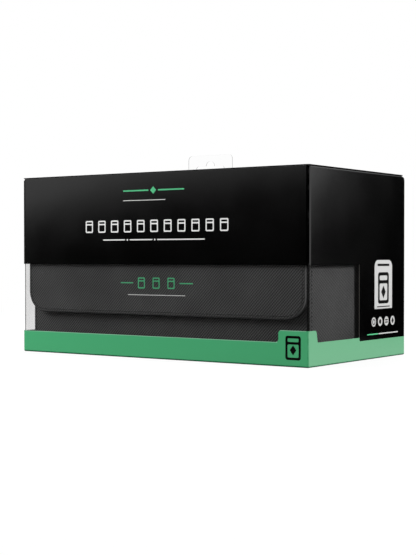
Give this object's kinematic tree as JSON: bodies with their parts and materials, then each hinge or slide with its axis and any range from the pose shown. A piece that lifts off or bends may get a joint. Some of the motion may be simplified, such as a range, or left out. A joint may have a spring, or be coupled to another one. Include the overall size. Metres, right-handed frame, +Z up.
{
  "type": "graded card storage case",
  "caption": "Flip-lid leatherette storage case for graded card slabs, with lined rows and a magnetic front flap, packed in a black and green window carton with a hang tab.",
  "frame": {"origin": "middle of the carton's base, on the surface it stands on", "axes": "+X to the right seen from the front, +Y to the back (the front faces -Y), +Z up"},
  "size_m": [0.306, 0.1666, 0.1795],
  "materials": {
    "carton_black": "satin print",
    "carton_green": "satin print",
    "clear_film": "clear",
    "leatherette": "fine twill grain",
    "grey_board": "raw",
    "soft_lining": "napped",
    "magnet": "plated"
  },
  "bodies": {
    "packed_case": {"carton_bottom": "carton_green", "carton_back": "carton_black", "carton_left_side": "carton_black", "carton_right_side": "carton_black", "carton_sill": "carton_green", "side_films": "clear_film", "body_cover": "leatherette", "floor_board": "grey_board", "front_board": "grey_board", "back_board": "grey_board", "left_board": "grey_board", "right_board": "grey_board", "wall_magnets": "magnet", "body_lining": "soft_lining", "rim_binding": "leatherette", "left_partition": "soft_lining", "right_partition": "soft_lining", "lid_hinge_leather": "leatherette"},
    "case_lid": {"lid_cover": "leatherette", "lid_board": "grey_board", "lid_lining": "soft_lining", "flap_crease_leather": "leatherette"},
    "case_flap": {"flap_cover": "leatherette", "flap_board": "grey_board", "flap_lining": "soft_lining", "flap_magnets": "magnet"},
    "carton_lid": {"carton_top_panel": "carton_black", "carton_front_leaf": "carton_black", "carton_tuck_ears": "carton_black", "front_film": "clear_film", "hang_tab_foot": "clear_film"},
    "hang_tab": {"hang_tab": "clear_film"}
  },
  "joints": [
    {"name": "case_lid_hinge", "type": "hinge", "parent": "packed_case", "child": "case_lid", "pos_m": [0, 0.0763, 0.152], "axis": [-1, 0, 0], "range_deg": [0, 100], "deforming": ["lid_hinge_leather"]},
    {"name": "flap_crease", "type": "hinge", "parent": "case_lid", "child": "case_flap", "pos_m": [0, -0.0759, 0.152], "axis": [-1, 0, 0], "range_deg": [0, 50], "deforming": ["flap_crease_leather"]},
    {"name": "carton_lid_hinge", "type": "hinge", "parent": "packed_case", "child": "carton_lid", "pos_m": [0, 0.0833, 0.1594], "axis": [-1, 0, 0], "range_deg": [0, 170]},
    {"name": "hang_tab_fold", "type": "hinge", "parent": "carton_lid", "child": "hang_tab", "pos_m": [0, 0, 0.16055], "axis": [-1, 0, 0], "range_deg": [0, 85], "stiffness_Nm_per_rad": 0.0004}
  ],
  "couplings": [
    {"joint": "carton_lid_hinge", "follows": "case_lid_hinge", "ratio": 1.7},
    {"joint": "flap_crease", "follows": "case_lid_hinge", "ratio": 0.5}
  ]
}
